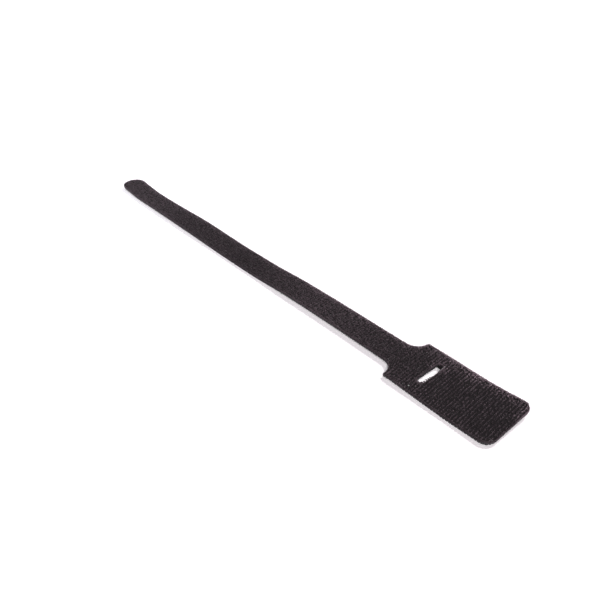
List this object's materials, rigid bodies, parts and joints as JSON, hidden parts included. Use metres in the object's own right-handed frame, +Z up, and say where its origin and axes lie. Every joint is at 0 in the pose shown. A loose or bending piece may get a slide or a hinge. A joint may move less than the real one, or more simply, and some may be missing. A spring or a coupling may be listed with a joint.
{
  "type": "hook and loop cable tie",
  "caption": "Reusable strap for bundling cables: narrow tail with a round tip, wide head with a slot to thread it through, hooks on one face and loops on the other.",
  "frame": {"origin": "on the surface that the tie lies on, under the middle of its box", "axes": "+X along the tie from the strap's tip towards the head, +Y across it to the left, +Z up through the loop side"},
  "size_m": [0.203, 0.0191, 0.0023],
  "materials": {
    "hook_plastic": "matte",
    "loop_fabric": "brushed"
  },
  "bodies": {
    "root": {"hook_strip": "hook_plastic", "loop_strip": "loop_fabric"}
  },
  "joints": []
}
